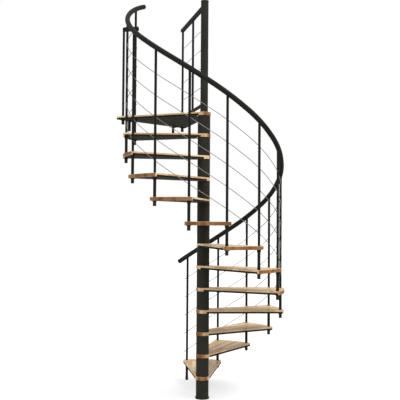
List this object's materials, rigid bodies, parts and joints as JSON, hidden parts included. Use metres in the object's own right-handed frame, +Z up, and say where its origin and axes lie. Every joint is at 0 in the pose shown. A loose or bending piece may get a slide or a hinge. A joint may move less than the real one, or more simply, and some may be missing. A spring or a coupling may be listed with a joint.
{
  "type": "spiral staircase",
  "caption": "Modular spiral staircase with wooden wedge treads round a steel pole, a triangular landing, a helical handrail and thin steel rods between slim balusters.",
  "frame": {"origin": "centre of the pole's base plate, on its lower face", "axes": "+Z up along the pole; +Y out of the landing's exit edge, square to it; the flight climbs clockwise seen from above"},
  "size_m": [1.6, 1.6303, 4.0345],
  "materials": {
    "black_steel": "satin powder coat, warm black",
    "beech": "finger-jointed beech staves, clear satin lacquer",
    "stainless": "drawn stainless steel rod",
    "black_plastic": "fine matt moulded plastic"
  },
  "bodies": {
    "root": {"base_plate": "black_steel", "core_tube": "black_steel", "pole_spacers": "black_steel", "tread_trays": "black_steel", "landing_tray": "black_steel", "floor_brackets": "black_steel", "upper_post": "black_steel", "handrail": "black_steel", "balusters": "black_steel", "baluster_sleeves": "black_steel", "hole_washers": "black_steel", "sleeve_ferrules": "black_steel", "guard_rail": "black_steel", "guard_bottom_bar": "black_steel", "guard_balusters": "black_steel", "corner_rail": "black_steel", "corner_baluster": "black_steel", "tread_01": "beech", "tread_02": "beech", "tread_03": "beech", "tread_04": "beech", "tread_05": "beech", "tread_06": "beech", "tread_07": "beech", "tread_08": "beech", "tread_09": "beech", "tread_10": "beech", "tread_11": "beech", "tread_12": "beech", "landing_board": "beech", "rod_row_1": "stainless", "rod_row_2": "stainless", "rod_row_3": "stainless", "rod_row_4": "stainless", "rod_row_5": "stainless", "guard_rods": "stainless", "baluster_caps": "black_plastic", "post_cap": "black_plastic"}
  },
  "joints": []
}
